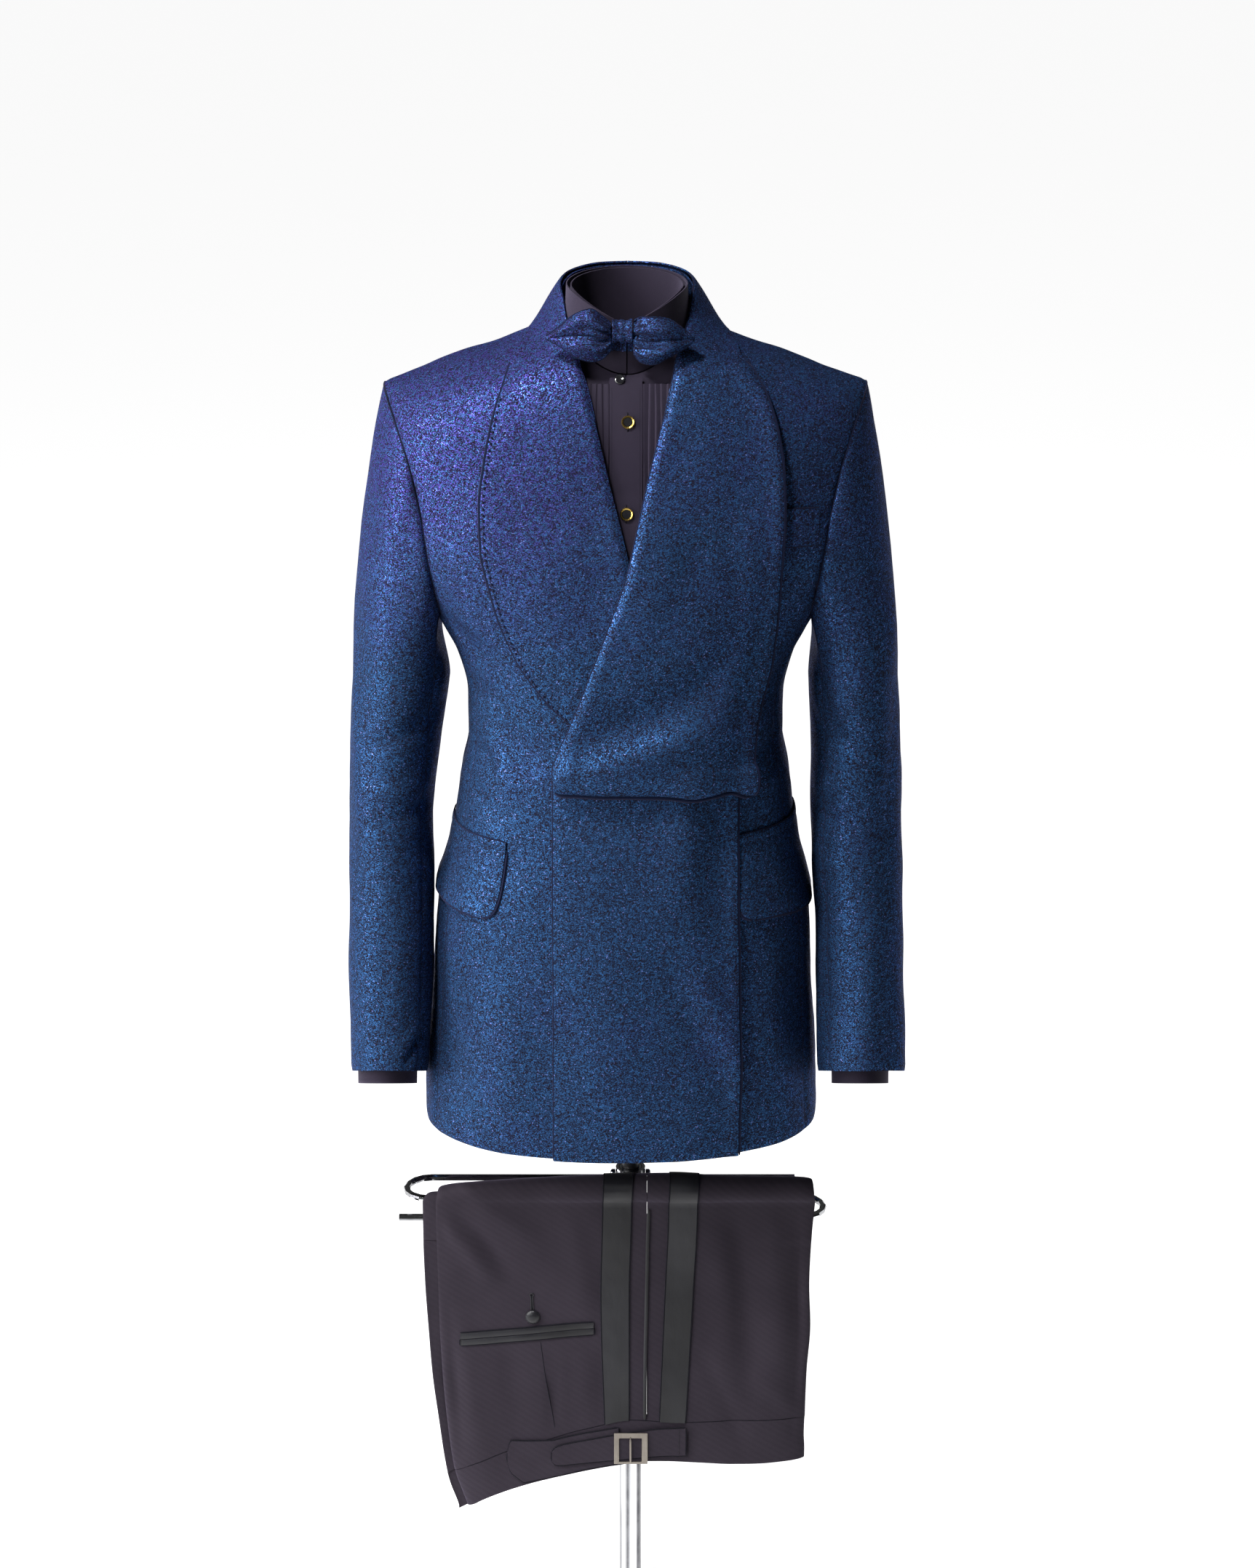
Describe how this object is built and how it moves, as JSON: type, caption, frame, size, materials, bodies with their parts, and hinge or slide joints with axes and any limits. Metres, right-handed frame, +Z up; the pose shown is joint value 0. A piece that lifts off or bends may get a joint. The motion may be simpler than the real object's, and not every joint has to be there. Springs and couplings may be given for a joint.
{
  "type": "tuxedo with trouser rod",
  "caption": "Long shawl-collar tuxedo jacket filled out over a pleated shirt and bow tie, with its trousers folded over a metal rod on a short pole below.",
  "frame": {"origin": "on the centre line where the wearer's shoulders carry the set: midway between the inner ends of the two shoulder seams", "axes": "+Z up; -Y towards the front of the jacket; +X towards the wearer's left"},
  "size_m": [0.5467, 0.2549, 1.3815],
  "materials": {
    "jacket_cloth": "dark navy crepe weave with electric-blue metallic thread",
    "shirt_cloth": "matt near-black cotton",
    "trouser_wool": "matt near-black wool twill",
    "black_satin": "satin ribbon with a soft lustre",
    "chrome": "polished chrome plate",
    "dark_paint": "dark satin paint",
    "antique_nickel": "aged nickel plate",
    "gilt_brass": "polished gilt",
    "black_enamel": "glossy black"
  },
  "bodies": {
    "root": {"bow_band": "jacket_cloth", "bow_knot": "jacket_cloth", "bow_wing_left": "jacket_cloth", "bow_wing_right": "jacket_cloth", "breast_welt": "jacket_cloth", "collar_stand": "jacket_cloth", "flap_left": "jacket_cloth", "flap_right": "jacket_cloth", "jacket_back_left": "jacket_cloth", "jacket_back_right": "jacket_cloth", "jacket_front_left": "jacket_cloth", "jacket_front_right": "jacket_cloth", "jacket_side_left": "jacket_cloth", "jacket_side_right": "jacket_cloth", "jet_left": "jacket_cloth", "jet_right": "jacket_cloth", "lapel_left": "jacket_cloth", "lapel_right": "jacket_cloth", "pocket_button": "black_enamel", "pocket_jet_lower": "trouser_wool", "pocket_jet_upper": "trouser_wool", "pole_chrome": "chrome", "pole_dark": "dark_paint", "rod_hub": "chrome", "rod_lower": "chrome", "rod_upper": "chrome", "shirt_back": "shirt_cloth", "shirt_bib_left": "shirt_cloth", "shirt_bib_right": "shirt_cloth", "shirt_collar_band": "shirt_cloth", "shirt_collar_fall": "shirt_cloth", "shirt_cuff_left": "shirt_cloth", "shirt_cuff_right": "shirt_cloth", "shirt_front_left": "shirt_cloth", "shirt_front_right": "shirt_cloth", "shirt_placket": "shirt_cloth", "shirt_sleeve_left": "shirt_cloth", "shirt_sleeve_right": "shirt_cloth", "side_buckle": "antique_nickel", "sleeve_top_left": "jacket_cloth", "sleeve_top_right": "jacket_cloth", "sleeve_under_left": "jacket_cloth", "sleeve_under_right": "jacket_cloth", "stripe_back_far": "black_satin", "stripe_back_near": "black_satin", "stripe_front_far": "black_satin", "stripe_front_near": "black_satin", "stud_ring_1": "gilt_brass", "stud_ring_2": "gilt_brass", "stud_stone_1": "black_enamel", "stud_stone_2": "black_enamel", "trouser_back_far": "trouser_wool", "trouser_back_near": "trouser_wool", "trouser_front_far": "trouser_wool", "trouser_front_near": "trouser_wool", "waist_strap": "trouser_wool", "waist_tab": "trouser_wool", "waistband_far": "trouser_wool", "waistband_near": "trouser_wool", "wrap_panel": "jacket_cloth"}
  },
  "joints": []
}
